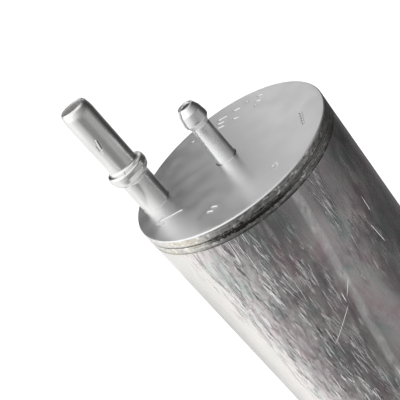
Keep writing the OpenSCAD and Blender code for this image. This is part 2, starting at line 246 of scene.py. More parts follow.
class Graph:
    """Builds one Principled material's nodes. Colours and bumps are laid on one after another."""

    def __init__(self, name, metallic, roughness, colour):
        self.material = new_material(name)
        self.tree = self.material.node_tree
        self.shader = self.tree.nodes["Principled BSDF"]
        self.shader.inputs["Metallic"].default_value = metallic
        self.shader.inputs["Roughness"].default_value = roughness
        self.coords = self.add("ShaderNodeTexCoord").outputs["Object"]
        self.colour = colour
        self.normal = None

    def add(self, kind, **settings):
        node = self.tree.nodes.new(kind)
        for key, value in settings.items():
            setattr(node, key, value)
        return node

    def put(self, socket, value):
        """Links an output, or sets a plain value."""
        if isinstance(value, bpy.types.NodeSocket):
            self.tree.links.new(value, socket)
        else:
            socket.default_value = value

    def xyz(self):
        """The three parts of the coordinates."""
        node = self.add("ShaderNodeSeparateXYZ")
        self.put(node.inputs[0], self.coords)
        return node.outputs

    def math(self, operation, a, b=0.0, c=0.0):
        node = self.add("ShaderNodeMath", operation=operation)
        for socket, value in zip(node.inputs, (a, b, c)):
            self.put(socket, value)
        return node.outputs[0]

    def times(self, a, b):
        return self.math("MULTIPLY", a, b)

    def most(self, a, b):
        return self.math("MAXIMUM", a, b)

    def less(self, mask, share=1.0):
        """1, lowered by a share where the mask is 1."""
        return self.math("MULTIPLY_ADD", mask, -share, 1.0)

    def apart(self, a, b):
        """How far apart two values are."""
        return self.math("ABSOLUTE", self.math("SUBTRACT", a, b))

    def vector_math(self, operation, a, b=(0.0, 0.0, 0.0)):
        node = self.add("ShaderNodeVectorMath", operation=operation)
        self.put(node.inputs[0], a)
        self.put(node.inputs[1], b)
        return node.outputs

    def about(self, x):
        """Coordinates from an upright axis at x."""
        return self.vector_math("SUBTRACT", self.coords, (x, 0.0, 0.0))["Vector"]

    def twist(self, slant):
        """Coordinates wound about Z, so that lines along Z lean by slant degrees on the can's wall."""
        node = self.add("ShaderNodeVectorRotate", rotation_type="Z_AXIS")
        self.put(node.inputs["Vector"], self.coords)
        turn = math.tan(math.radians(slant)) / CAN_R
        self.put(node.inputs["Angle"], self.times(self.xyz()[2], turn))
        return node.outputs[0]

    def noise(self, stretch, scale, detail=2.0, rough=0.5, bend=0.0, vector=None):
        """Noise on the coordinates, or on another vector, scaled by the stretch's (x, y, z)."""
        place = self.add("ShaderNodeMapping")
        self.put(place.inputs["Vector"], self.coords if vector is None else vector)
        place.inputs["Scale"].default_value = stretch
        node = self.add("ShaderNodeTexNoise")
        for name, value in (("Vector", place.outputs[0]), ("Scale", scale), ("Detail", detail),
                            ("Roughness", rough), ("Distortion", bend)):
            self.put(node.inputs[name], value)
        return node.outputs["Fac"]

    def band(self, value, low, high, to_low=0.0, to_high=1.0):
        """value from low to high, mapped smoothly to to_low to to_high and held beyond."""
        node = self.add("ShaderNodeMapRange", interpolation_type="SMOOTHSTEP")
        for socket, number in zip(node.inputs, (value, low, high, to_low, to_high)):
            self.put(socket, number)
        return node.outputs[0]

    def flank(self, azimuth, near, far, vector=None):
        """1 where the wall faces an azimuth within `near` degrees, falling to 0 at `far` degrees."""
        a = math.radians(azimuth)
        flat = self.vector_math("MULTIPLY", self.coords if vector is None else vector, (1.0, 1.0, 0.0))
        unit = self.vector_math("NORMALIZE", flat["Vector"])
        dot = self.vector_math("DOT_PRODUCT", unit["Vector"], (math.cos(a), math.sin(a), 0.0))
        return self.band(dot["Value"], math.cos(math.radians(far)), math.cos(math.radians(near)))

    def paint(self, share, colour):
        """Lays a colour over the colours so far, by a share."""
        node = self.add("ShaderNodeMix", data_type="RGBA")
        self.put(node.inputs[0], share)
        for socket, value in zip(node.inputs[6:8], (self.colour, colour)):
            self.put(socket, value if isinstance(value, bpy.types.NodeSocket) else (*value, 1.0))
        self.colour = node.outputs[2]

    def emboss(self, height, depth):
        """Adds bumps as deep as `depth` to the bumps so far."""
        node = self.add("ShaderNodeBump")
        self.put(node.inputs["Height"], height)
        node.inputs["Distance"].default_value = depth
        node.inputs["Strength"].default_value = 1.0
        if self.normal is not None:
            self.put(node.inputs["Normal"], self.normal)
        self.normal = node.outputs["Normal"]

    def finish(self, roughness, metallic=None):
        for name, value in (("Base Color", self.colour), ("Roughness", roughness), ("Metallic", metallic),
                            ("Normal", self.normal)):
            if value is not None:
                self.put(self.shader.inputs[name], value)
        return self.material


# ---- materials
# Lines drawn on a round wall: (angle in degrees, height in mm) of both ends, and half width in mm.
# Tool marks on the outlet, bright and dark
TUBE_GLINTS = [((-84, 98.8), (-92, 96.0), 0.17), ((-90, 96.0), (-97, 94.6), 0.13),
               ((-95, 95.0), (-86, 87.5), 0.07)]
TUBE_CUTS = [((-79, 98.6), (-87, 95.8), 0.16), ((-97, 97.6), (-99, 95.6), 0.10),
             ((-80, 88.4), (-82, 87.6), 0.08)]
# Long scratches on the can
WALL_SCRATCHES = [((-31.5, 55.5), (-32.5, 50), 0.12), ((-38, 49), (-36.5, 41.5), 0.12),
                  ((-72, 39), (-92, 30), 0.11), ((-72, 43), (-73, 39), 0.12), ((-64, 45), (-72, 40), 0.10),
                  ((60, 20), (64, 2), 0.1), ((150, 30), (141, 5), 0.1), ((-140, -10), (-133, -40), 0.1),
                  ((170, -30), (168, -52), 0.1), ((20, -20), (27, -36), 0.1)]

# A bright stripe of painted reflection winds slightly along the wall: its azimuth at half height, and its
# slant
REFLECTION_STRIPE_AZIMUTH = -78
REFLECTION_STRIPE_SLANT = -7
# The side of the can that stayed clean faces this azimuth; it faces the light too, and a painted highlight
# makes it lighter
CLEAN_AND_LIT_AZIMUTH = -160


def lines_on_wall(g, lines, x=0.0, radius=CAN_R, ease=1.5 * MM):
    """1 along straight lines on a round wall about an upright axis at x; their ends fade over `ease`."""
    along_x, along_y, height = g.xyz()
    around = g.times(g.math("ARCTAN2", along_y, g.math("SUBTRACT", along_x, x)), radius)
    drawn = 0.0
    for (a0, z0), (a1, z1), half_width in lines:
        s0, s1 = math.radians(a0) * radius, math.radians(a1) * radius
        slope = (s1 - s0) / ((z1 - z0) * MM)
        path = g.math("MULTIPLY_ADD", height, slope, s0 - slope * z0 * MM)
        core = g.band(g.apart(around, path), 0.4 * half_width * MM, half_width * MM, 1.0, 0.0)
        low, high = sorted((z0 * MM, z1 * MM))
        ends = g.times(g.band(height, low, low + ease), g.band(height, high - ease, high, 1.0, 0.0))
        drawn = g.most(drawn, g.times(core, ends))
    return drawn


def can_wall_metal():
    """Drawn can: broken lengthwise streaks, cloudy tinted stains, nicks and fine scratches, with a painted
    reflection stripe, a painted highlight on the clean side and painted shade under the rim.
    """
    g = Graph("can_wall_metal", 1.0, 0.3, (0.50, 0.56, 0.54))
    lean, back = g.twist(-5), g.twist(7)
    clouds = g.noise((1, 1, 0.4), 210, 4, 0.6, 0.6, lean)
    tint = g.noise((1, 1, 0.6), 170, 2, 0.5, 0.4)
    where = g.noise((1, 1, 0.5), 120)
    blots = g.noise((1, 1, 0.45), 620, 2, 0.5, 0.8, lean)
    streaks = g.noise((1, 1, 0.16), 850, 3, 0.55, 0.5, lean)
    nicks = g.noise((1, 1, 0.06), 2300, 1, vector=back)
    # folded noise draws pairs of thin lines along its contours
    hairs = g.math("PINGPONG", g.noise((1, 1, 0.025), 800, 1, vector=lean), 0.065)
    threads = g.math("PINGPONG", g.noise((1, 1, 0.025), 1100, 1, vector=back), 0.08)
    broken = g.noise((1, 1, 0.14), 1000, 1, vector=lean)
    # the wear is thickest at the front, and thin on the right and on the clean side
    busy = g.times(g.flank(-110, 12, 36), g.band(where, 0.36, 0.5, 0.35, 1.0))
    busy = g.most(g.band(where, 0.50, 0.62, 0.08, 0.55), busy)
    busy = g.times(busy, g.less(g.flank(-12, 10, 26), 0.85))
    busy = g.times(busy, g.less(g.flank(CLEAN_AND_LIT_AZIMUTH, 26, 44)))
    g.paint(g.band(tint, 0.36, 0.46), (0.64, 0.58, 0.595))
    g.paint(g.band(tint, 0.57, 0.68, 0.0, 0.75), (0.58, 0.43, 0.475))
    g.paint(g.times(g.flank(90, 70, 120), 0.55), (0.58, 0.57, 0.565))
    g.paint(g.band(clouds, 0.38, 0.64, 0.0, 0.5), (0.76, 0.735, 0.725))
    g.paint(g.band(clouds, 0.46, 0.34, 0.0, 0.35), (0.38, 0.365, 0.37))
    g.paint(g.times(g.band(blots, 0.47, 0.41, 0.0, 0.4), busy), (0.25, 0.235, 0.24))
    g.paint(g.times(g.band(blots, 0.54, 0.60, 0.0, 0.3), busy), (0.88, 0.87, 0.86))
    g.paint(g.times(g.band(streaks, 0.47, 0.42, 0.0, 0.3), busy), (0.22, 0.205, 0.21))
    g.paint(g.times(g.band(streaks, 0.55, 0.62, 0.0, 0.25), busy), (0.88, 0.87, 0.86))
    # painted shade: the wall's front right darkens just under the rim
    painted_shade_under_rim = g.band(g.xyz()[2], 56 * MM, 68 * MM, 0.0, 0.6)
    g.paint(g.times(g.flank(-62, 24, 44), painted_shade_under_rim), (0.25, 0.25, 0.25))
    # painted reflection: a bright stripe along the wall, broken up by the blots and clouds
    painted_reflection_stripe = g.flank(REFLECTION_STRIPE_AZIMUTH, 0.6, 3.0, g.twist(REFLECTION_STRIPE_SLANT))
    painted_reflection_stripe = g.times(painted_reflection_stripe, g.band(blots, 0.35, 0.6, 0.9, 0.5))
    painted_reflection_stripe = g.times(painted_reflection_stripe, g.band(clouds, 0.40, 0.58, 0.55, 1.0))
    g.paint(g.times(painted_reflection_stripe, 0.85), (0.93, 0.915, 0.91))
    # painted highlight: the clean side, which faces the light, is painted lighter and creamier
    g.paint(g.times(g.flank(CLEAN_AND_LIT_AZIMUTH, 28, 52), 0.75), (0.84, 0.828, 0.79))
    gate = g.times(g.band(broken, 0.47, 0.53), busy)
    dark = g.most(g.band(nicks, 0.40, 0.36), g.band(hairs, 0.052, 0.062))
    dark = g.times(g.most(dark, g.band(threads, 0.066, 0.078)), gate)
    bright = g.times(g.most(g.band(hairs, 0.016, 0.006), g.band(threads, 0.016, 0.006)), gate)
    g.paint(g.times(dark, 0.75), (0.05, 0.045, 0.05))
    lines = lines_on_wall(g, WALL_SCRATCHES)
    scratched = g.most(g.times(bright, 0.7), lines)
    g.paint(scratched, (0.9, 0.9, 0.9))
    g.emboss(g.times(g.math("ADD", streaks, blots), busy), 0.1 * MM)
    g.emboss(g.math("SUBTRACT", bright, dark), 0.05 * MM)
    g.emboss(lines, 0.03 * MM)
    rough = g.math("ADD", g.band(clouds, 0.3, 0.7, 0.2, 0.32), g.band(streaks, 0.3, 0.7, -0.04, 0.04))
    # a bright scratch shows best where it reflects less and scatters more, and the painted reflection
    # stripe is brightened the same way
    return g.finish(rough, g.math("MULTIPLY_ADD", scratched, -0.75, g.less(painted_reflection_stripe, 0.12)))


def painted_shade_near_lid(g, x, strength):
    """Darkens the right of a tube at x near the lid with painted shade."""
    low = g.band(g.xyz()[2], TOP_Z + 10 * MM, TOP_Z + 5 * MM, 0.0, strength)
    g.paint(g.times(low, g.flank(12, 14, 50, g.about(x))), (0.16, 0.16, 0.165))


def satin_metal(name, colour, roughness, mottle=0.04, lines=EVEN, specks=0.35, grain_depth=0.004, tint_and_painted_light=0.0):
    """Smooth plated metal with faint mottling. lines is a stretch that draws a faint grain, grain_depth
    is in mm, and the last argument is how strongly painted shade darkens its right side near the lid."""
    g = Graph(name, 1.0, roughness, colour)
    cloud = g.noise(EVEN, 190, 3)
    speck = g.noise(EVEN, 2600, 2, 0.6)
    grain = g.noise(lines, 2400, 2, 0.6)
    darker = tuple(c * (1 - 4 * mottle) for c in colour)
    g.paint(g.band(cloud, 0.3, 0.7, 0.0, 0.45), darker)
    g.paint(g.band(speck, 0.66, 0.76, 0.0, specks), darker)
    # painted shade on the right side near the lid
    if tint_and_painted_light:
        painted_shade_near_lid(g, 0.0, tint_and_painted_light)
    if grain_depth:
        g.emboss(grain, grain_depth * MM)
    return g.finish(g.math("ADD", g.band(cloud, 0.3, 0.7, roughness - 0.03, roughness + 0.04),
                           g.band(grain, 0.3, 0.7, -0.02, 0.02)))


def spigot_metal():
    """Smooth plated tube with a faint lengthwise grain, the nicks of a tool half way up the outlet, and
    painted shade on the outlet's right near the lid.
    """
    g = Graph("spigot_metal", 1.0, 0.22, (0.82, 0.82, 0.81))
    cloud = g.noise((1, 1, 0.3), 300, 3)
    grain = g.noise((1, 1, 0.05), 2400, 2, 0.6)
    dark = lines_on_wall(g, TUBE_CUTS, OUTLET_X, FEED_R, 0.3 * MM)
    bright = lines_on_wall(g, TUBE_GLINTS, OUTLET_X, FEED_R, 0.3 * MM)
    g.paint(g.band(cloud, 0.35, 0.65), (0.74, 0.74, 0.73))
    # painted shade on the outlet's right side near the lid
    painted_shade_near_lid(g, OUTLET_X, 0.8)
    g.paint(dark, (0.12, 0.12, 0.12))
    g.paint(bright, (0.95, 0.95, 0.95))
    g.emboss(grain, 0.004 * MM)
    g.emboss(g.math("SUBTRACT", bright, dark), 0.1 * MM)
    rough = g.math("ADD", g.band(cloud, 0.3, 0.7, 0.2, 0.28), g.band(grain, 0.3, 0.7, -0.02, 0.02))
    return g.finish(rough, g.less(bright, 0.7))


def bore_metal():
    """The unpolished, slightly oxidised inside of a tube."""
    g = Graph("bore_metal", 0.8, 0.4, (0.86, 0.855, 0.85))
    cloud = g.noise((1, 1, 0.4), 900, 3, 0.6)
    g.paint(g.band(cloud, 0.35, 0.65), (0.66, 0.65, 0.64))
    g.emboss(cloud, 0.008 * MM)
    return g.finish(g.band(cloud, 0.3, 0.7, 0.28, 0.45))


def band_metal(name, light, dark):
    """The rims either side of the weld: lines run round them, with scorched and yellowed patches. Painted
    light: the flank facing the light is painted lighter and warmer, the rest darker, and painted shade
    darkens the foot above the groove.
    """
    g = Graph(name, 1.0, 0.3, dark)
    height = g.xyz()[2]
    rings = g.noise((0.06, 0.06, 1.0), 2600, 3, 0.6)
    patches = g.noise((1, 1, 1.4), 700, 4, 0.65, 0.5)
    tint_and_painted_light = g.noise(EVEN, 120)
    ragged = g.noise((1, 1, 1.2), 1300, 4, 0.7)
    # painted light: the flank facing the light is painted lighter, warmer and less stained, and the rest of
    # the rim darker
    painted_lit_flank = g.flank(-145, 22, 48)
    # scorched next to the weld with a ragged edge, and widest at the front
    apart = g.apart(height, SHOULDER_Z - 0.05 * MM)
    apart = g.math("MULTIPLY_ADD", ragged, 1.5 * MM, apart)
    apart = g.math("MULTIPLY_ADD", g.flank(-86, 10, 30), -0.28 * MM, apart)
    scorch = g.band(apart, 1.12 * MM, 1.24 * MM, 1.0, 0.0)
    # the scorch is left off the sides where light is painted
    painted_lit_sides = g.most(painted_lit_flank, g.times(g.flank(-10, 24, 60), 0.9))
    scorch = g.times(scorch, g.less(painted_lit_sides, 0.9))
    g.paint(g.band(rings, 0.38, 0.60), light)
    # painted shade away from the lit flank, and a painted highlight on it
    g.paint(g.math("MULTIPLY_ADD", painted_lit_flank, -0.45, 0.45), (0.19, 0.187, 0.183))
    g.paint(g.times(painted_lit_flank, 0.55), (0.93, 0.91, 0.84))
    # yellowed patches, laid mostly on the lit flank, where their warmth is a painted reflection
    warm = g.times(g.band(tint_and_painted_light, 0.46, 0.6), g.math("MULTIPLY_ADD", painted_lit_flank, 0.45, 0.03))
    g.paint(warm, (0.72, 0.64, 0.48))
    stained = g.times(g.band(patches, 0.47, 0.38), g.math("MULTIPLY_ADD", painted_lit_flank, -0.5, 0.7))
    g.paint(stained, (0.12, 0.117, 0.115))
    g.paint(g.band(patches, 0.56, 0.62, 0.0, 0.8), (0.95, 0.94, 0.92))
    # painted shade at the foot of the rim, above the groove, less on the lit flank
    foot = g.band(height, BAND_Z + 0.9 * MM, BAND_Z + 0.1 * MM, 0.0, 0.5)
    g.paint(g.times(foot, g.less(painted_lit_flank, 0.7)), (0.12, 0.118, 0.115))
    g.paint(g.times(scorch, 0.95), (0.02, 0.019, 0.018))
    g.paint(g.band(rings, 0.66, 0.70, 0.0, 0.8), (0.9, 0.89, 0.87))
    g.emboss(rings, 0.05 * MM)
    g.emboss(patches, 0.12 * MM)
    return g.finish(g.band(patches, 0.4, 0.7, 0.42, 0.2))


def weld_metal():
    """Rough dark weld with scale and small bright globules; two of its flanks are painted lighter, a
    painted highlight.
    """
    g = Graph("weld_metal", 1.0, 0.5, (0.055, 0.052, 0.05))
    scale = g.noise((1, 1, 2), 1500, 4, 0.65)
    spots = g.noise(EVEN, 3300)
    g.paint(g.band(scale, 0.38, 0.62), (0.33, 0.32, 0.30))
    g.paint(g.band(spots, 0.64, 0.70), (0.85, 0.84, 0.80))
    # painted highlight: two flanks of the weld are painted lighter
    painted_lit_sides = g.most(g.flank(-150, 26, 50), g.flank(-10, 24, 60))
    g.paint(g.times(painted_lit_sides, 0.75), (0.47, 0.467, 0.455))
    g.emboss(scale, 0.12 * MM)
    return g.finish(g.band(scale, 0.35, 0.65, 0.65, 0.35))


def braze_metal(name, light, dark, depth, x, painted_lit_flank):
    """Braze round a tube at x, mottled between two colours, with bumps as deep as depth in mm; the last
    argument is a flank painted lighter, a painted highlight."""
    g = Graph(name, 1.0, 0.33, light)
    flow = g.noise(EVEN, 1500, 3, 0.6)
    g.paint(g.band(flow, 0.35, 0.65), dark)
    # painted highlight on one flank
    g.paint(g.flank(*painted_lit_flank, g.about(x)), (0.8, 0.8, 0.795))
    g.emboss(flow, depth * MM)
    return g.finish(g.band(flow, 0.3, 0.7, 0.28, 0.42))


# ---- marks stamped in the lid
def turned(x, y, angle, points):
    """Points in millimetres about (x, y), turned by angle degrees, in metres."""
    c, s = polar(1.0, math.radians(angle))
    return [((x + px * c - py * s) * MM, (y + px * s + py * c) * MM) for px, py in points]


def stroke(x, y, angle, length, width):
    ends = turned(x, y, angle, [(-length / 2, 0), (length / 2, 0)])
    return (*ends, width * MM / 2)


# Stamped bars, as the CAD lid has them: centre, turn, length and width in millimetres
LID_BARS = [(-0.1, 21.4, -10, 2.3, 0.45), (-0.7, 19.3, -17, 1.7, 0.45), (-0.9, 17.1, -19, 1.7, 0.45),
            (4.5, 21.2, -15, 1.7, 0.45), (3.9, 16.7, -28, 1.5, 0.45), (12.0, 20.7, -19, 1.2, 0.4),
            (11.1, 18.4, -18, 1.1, 0.4), (10.4, 16.4, -45, 1.2, 0.4), (-4.2, -18.7, -30, 1.4, 0.35),
            (-5.4, -19.6, -30, 1.4, 0.35)]


def lid_strokes():
    """The same marks as the CAD lid's: a flow arrow, bars, dots and a star."""
    arrow = [(-3.6, 0), (3.6, 0), (1.7, 1.6), (1.7, -1.6)]
    tail, tip, barb_up, barb_down = turned(-17.2, -11.3, 174, arrow)
    half = 0.3 * MM
    strokes = [(tail, tip, half), (barb_up, tip, half), (barb_down, tip, half)]
    strokes += [stroke(*bar) for bar in LID_BARS]
    strokes += [stroke(x, y, 0, 0.02, 0.7) for x, y in ((7.8, 21.7), (-10, 19.1), (-7.4, 21.2))]
    strokes += [stroke(21.2, -4 + 1.3 * i, 90, 0.5, 0.3) for i in range(-2, 3)]
    strokes += [stroke(12.3, -17, 45 * i, 1.5, 0.3) for i in range(4)]
    return strokes


STROKES = lid_strokes()
MARK_DEPTH = 0.14 * MM
MARK_EDGE = 0.22 * MM
MARK_LIP = 0.04 * MM


def mark_distance(x, y):
    """Distance from the nearest stroke's edge, negative inside it."""
    best = 1.0
    for (ax, ay), (bx, by), half in STROKES:
        dx, dy = bx - ax, by - ay
        share = ((x - ax) * dx + (y - ay) * dy) / (dx * dx + dy * dy)
        share = min(1.0, max(0.0, share))
        best = min(best, math.hypot(x - ax - share * dx, y - ay - share * dy) - half)
    return best


def lid_relief(x, y):
    """Height of the lid's face over its plane: pressed marks with a raised lip, on a faint wave."""
    wave = noise.noise(Vector((x, y, 0.0)) * 70) * 0.02 * MM
    edge = max(0.0, CAN_R - LID_EDGE - math.hypot(x, y))
    wave *= min(1.0, edge / (2 * MM))
    d = mark_distance(x, y)
    if d > 3 * MARK_EDGE:
        return wave
    press = eased(0.5 - d / MARK_EDGE)
    lip = math.exp(-((d - MARK_EDGE) / (0.6 * MARK_EDGE)) ** 2)
    return wave - MARK_DEPTH * press + MARK_LIP * lip * (1 - press)


def face_points(radius, holes, coarse, fine):
    """Grid points inside a disc, closer together near the marks."""
    points = []

    def split(x, y, size):
        if size > fine and mark_distance(x, y) < size + 2.5 * MARK_EDGE:
            q = size / 4
            for sx, sy in ((-q, -q), (q, -q), (-q, q), (q, q)):
                split(x + sx, y + sy, size / 2)
            return
        if math.hypot(x, y) < radius - coarse / 3 and all(
                math.hypot(x - hx, y - hy) > hr + coarse / 3 for hx, hy, hr in holes):
            points.append((x, y))

    count = math.ceil(radius / coarse)
    for i in range(-count, count + 1):
        for j in range(-count, count + 1):
            split(i * coarse, j * coarse, coarse)
    return points


def circle_points(x, y, radius, steps):
    around = [polar(radius, 2 * math.pi * i / steps) for i in range(steps)]
    return [(x + px, y + py) for px, py in around]


def holed_disc(bm, z, radius, holes, relief=None, coarse=1.3 * MM, fine=0.085 * MM):
    """Adds a disc with round holes at height z. relief(x, y) raises its points, which then lie `coarse`
    apart, and down to `fine` near the marks."""
    rims = [circle_points(0, 0, radius, RING_STEPS)]
    rims += [circle_points(x, y, r, HOLE_STEPS) for x, y, r in holes]
    inside = face_points(radius, holes, coarse, fine) if relief else []
    coords = [Vector(p) for ring in rims + [inside] for p in ring]
    edges = []
    start = 0
    for ring in rims:
        edges += [(start + i, start + (i + 1) % len(ring)) for i in range(len(ring))]
        start += len(ring)
    made = delaunay_2d_cdt(coords, edges, [], 0, 1e-9)
    verts = [bm.verts.new((p.x, p.y, z + (relief(p.x, p.y) if relief else 0.0))) for p in made[0]]
    for tri in made[2]:
        middle = sum((made[0][i] for i in tri), Vector((0, 0))) / 3
        if middle.length < radius and all(math.hypot(middle.x - x, middle.y - y) > r for x, y, r in holes):
            bm.faces.new([verts[i] for i in tri])
    for vert in [v for v in verts if not v.link_faces]:
        bm.verts.remove(vert)


def hole_walls(bm, holes, low, high):
    """The walls of round holes between two faces."""
    for x, y, radius in holes:
        revolve(bm, [(radius, low), (radius, high)], HOLE_STEPS, (x, y), closed=False)


# ---- the shell
def build_lid(metal, skirt_metal):
    bm = bmesh.new()
    holes = [(OUTLET_X, 0.0, FEED_R + BRAZE_GAP), (0.0, 0.0, NIPPLE_R + BRAZE_GAP)]
    under = TOP_Z - LID_T
    holed_disc(bm, TOP_Z, CAN_R - LID_EDGE, holes, lid_relief)
    holed_disc(bm, under, CAN_INNER_R, holes)
    edge = arc(CAN_R - LID_EDGE, TOP_Z - LID_EDGE, LID_EDGE, 90, 0, 8)
    rim = edge + [(CAN_R, SKIRT_Z + SKIRT_BREAK), (CAN_R - SKIRT_BREAK, SKIRT_Z), (CAN_INNER_R, SKIRT_Z),
                  (CAN_INNER_R, under)]
    revolve(bm, subdivided(rim, 0.5 * MM), RING_STEPS, closed=False)
    hole_walls(bm, holes, under, TOP_Z)
    bmesh.ops.remove_doubles(bm, verts=bm.verts, dist=MERGE)
    second_material(bm, lambda p: p.z < TOP_Z - LID_EDGE and p.to_2d().length > CAN_R - 0.1 * MM)
    return finished(bm, "lid_plate", [metal, skirt_metal], "lid", sharp=50)


def can_wave(angle, r, z):
    """Faint flats and ridges left along the wall by drawing."""
    if r < CAN_R - 0.5 * MM or z > BAND_Z:
        return 0.0
    p = Vector((*polar(1.0, angle), 0.0))
    long_wave = noise.noise(p * 2.2 + Vector((0, 0, z * 12)))
    ridges = noise.noise(p * 9 + Vector((5, 0, z * 25)))
    return (long_wave * 0.04 + ridges * 0.012 - 0.03) * MM


def build_can(wall_metal, rim_metal):
    bm = bmesh.new()
    wall_top = BAND_Z - GROOVE_H
    neck_z = SHOULDER_Z - CAN_WALL
    neck_top = TOP_Z - LID_T - BRAZE_GAP
    flat_r = CAN_R - CAN_CORNER
    floor_z = BOTTOM_Z + CAN_WALL
    outside = arc(flat_r, BOTTOM_Z + CAN_CORNER, CAN_CORNER, -90, 0, 12)
    outside += [(CAN_R, wall_top), (CAN_R - GROOVE_DEPTH, wall_top + EDGE_BREAK),
                (CAN_R - GROOVE_DEPTH, BAND_Z - EDGE_BREAK), (CAN_R, BAND_Z),
                (CAN_R, SHOULDER_Z - EDGE_BREAK), (CAN_R - EDGE_BREAK, SHOULDER_Z), (NECK_R, SHOULDER_Z),
                (NECK_R, neck_top), (NECK_INNER_R, neck_top), (NECK_INNER_R, neck_z),
                (CAN_INNER_R, neck_z - 0.6 * MM)]
    inside = arc(flat_r, BOTTOM_Z + CAN_CORNER, CAN_CORNER - CAN_WALL, 0, -90, 8)
    profile = subdivided(outside, 1.5 * MM) + inside
    revolve(bm, profile, RING_STEPS, closed=False, shift=can_wave)
    holes = [(INLET_X, 0.0, FEED_R + BRAZE_GAP), (0.0, 0.0, RETURN_R + BRAZE_GAP)]
    for z in (BOTTOM_Z, floor_z):
        holed_disc(bm, z, flat_r, holes)
    hole_walls(bm, holes, BOTTOM_Z, floor_z)
    bmesh.ops.remove_doubles(bm, verts=bm.verts, dist=MERGE)
    second_material(bm, lambda p: p.z > wall_top + 0.05 * MM)
    return finished(bm, "can_shell", [wall_metal, rim_metal], "can")


def build_seam(metal):
    """The weld bead: an uneven ring sunk a little below the lid and the can's rim."""
    bm = bmesh.new()
    middle = (SKIRT_Z + SHOULDER_Z) / 2
    half = (SKIRT_Z - SHOULDER_Z) / 2
    section = [(CAN_INNER_R, -half), (CAN_R - 0.45 * MM, -half), (CAN_R - 0.22 * MM, -0.7 * half),
               (CAN_R - 0.12 * MM, 0.0), (CAN_R - 0.22 * MM, 0.7 * half), (CAN_R - 0.45 * MM, half),
               (CAN_INNER_R, half)]

    def bead(angle, r, z):
        if r < CAN_R - 0.5 * MM:
            return 0.0
        p = Vector((*polar(1.0, angle), z * 40)) * 60
        return noise.fractal(p, 1.0, 2.0, 3) * 0.16 * MM

    revolve(bm, [(r, middle + z) for r, z in section], WELD_STEPS, shift=bead)
    return finished(bm, "weld_bead", [metal], "seam_weld")


# ---- spigots and nipple
def bead_corners(radius):
    """The bead's corners on a tube, as (r, height, rounding): steep above, sloping gently below."""
    bead = radius + BEAD_RISE
    return [(radius, BEAD_HEIGHT - 2.5 * MM, 1.0 * MM),
            (bead - 0.35 * MM, BEAD_HEIGHT - 1.4 * MM, 0.8 * MM),
            (bead, BEAD_HEIGHT - 0.1 * MM, 0.9 * MM),
            (bead - 0.15 * MM, BEAD_HEIGHT + 1.3 * MM, 0.8 * MM),
            (radius, BEAD_HEIGHT + 1.75 * MM, 1.0 * MM)]


def tip_corners(radius, length):
    """The tube's lead-in taper, rolled edge and the mouth of its bore."""
    return [(radius, length - 2.1 * MM, 9 * MM), (radius - 0.34 * MM, length - 0.5 * MM, 0.7 * MM),
            (radius - 0.72 * MM, length, 0.18 * MM), (radius - SPIGOT_WALL + 0.06 * MM, length, 0.06 * MM),
            (radius - SPIGOT_WALL, length - 0.4 * MM, 0.2 * MM)]


def spigot_profile(radius, length, inside):
    """Closed profile of a spigot standing on height 0: tube, bead, rolled tip and bore."""
    outer = [(radius, -inside, 0)] + bead_corners(radius) + tip_corners(radius, length)
    return rounded(outer + [(radius - SPIGOT_WALL, -inside, 0)])


def tube_piece(name, metals, node, profile, bore, steps=HOLE_STEPS, x=0.0, shift=None):
    """A tube about an upright axis at x, with its second metal on the faces inside its bore."""
    bm = bmesh.new()
    revolve(bm, profile, steps, (x, 0.0), shift=shift)
    second_material(bm, lambda p: math.hypot(p.x - x, p.y) < bore + 0.03 * MM)
    return finished(bm, name, metals, node, sharp=60)


def build_spigot(name, node, metals, x, radius, face_z, up):
    """A feed tube at x that leaves the shell's face at face_z, up (1) or down (-1)."""
    low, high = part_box(node)
    length = high.z - face_z if up > 0 else face_z - low.z
    inside = face_z - low.z if up > 0 else high.z - face_z
    profile = [(r, face_z + up * z) for r, z in spigot_profile(radius, length, inside)]

    def dents(angle, r, z):
        p = Vector((*polar(2.0, angle), z * 160 + x * 900))
        return noise.noise(p) * 0.018 * MM

    return tube_piece(name, metals, node, subdivided(profile, 0.8 * MM), radius - SPIGOT_WALL,
                      TUBE_STEPS, x, dents)


def build_return_spigot(metals):
    """The return spigot, whose inner end is the return tube's socket."""
    low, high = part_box("return_spigot")
    inner_z = high.z - BOTTOM_Z
    bore = RETURN_R - SPIGOT_WALL
    socket_in = RETURN_R + 1.25 * MM
    socket_out = socket_in + 1.2 * MM
    socket_end = -CAN_WALL - 1.2 * MM
    length = BOTTOM_Z - low.z
    corners = [*reversed(tip_corners(RETURN_R, length)), *reversed(bead_corners(RETURN_R)),
               (RETURN_R, -CAN_WALL, 0), (socket_out, -CAN_WALL, 0.2 * MM),
               (socket_out, -inner_z, 0.3 * MM), (socket_in, -inner_z, 0.3 * MM),
               (socket_in, socket_end, 0.1 * MM), (bore, socket_end, 0)]
    profile = [(r, BOTTOM_Z - z) for r, z in rounded(corners)]
    return tube_piece("return_tube_end", metals, "return_spigot", profile, bore)


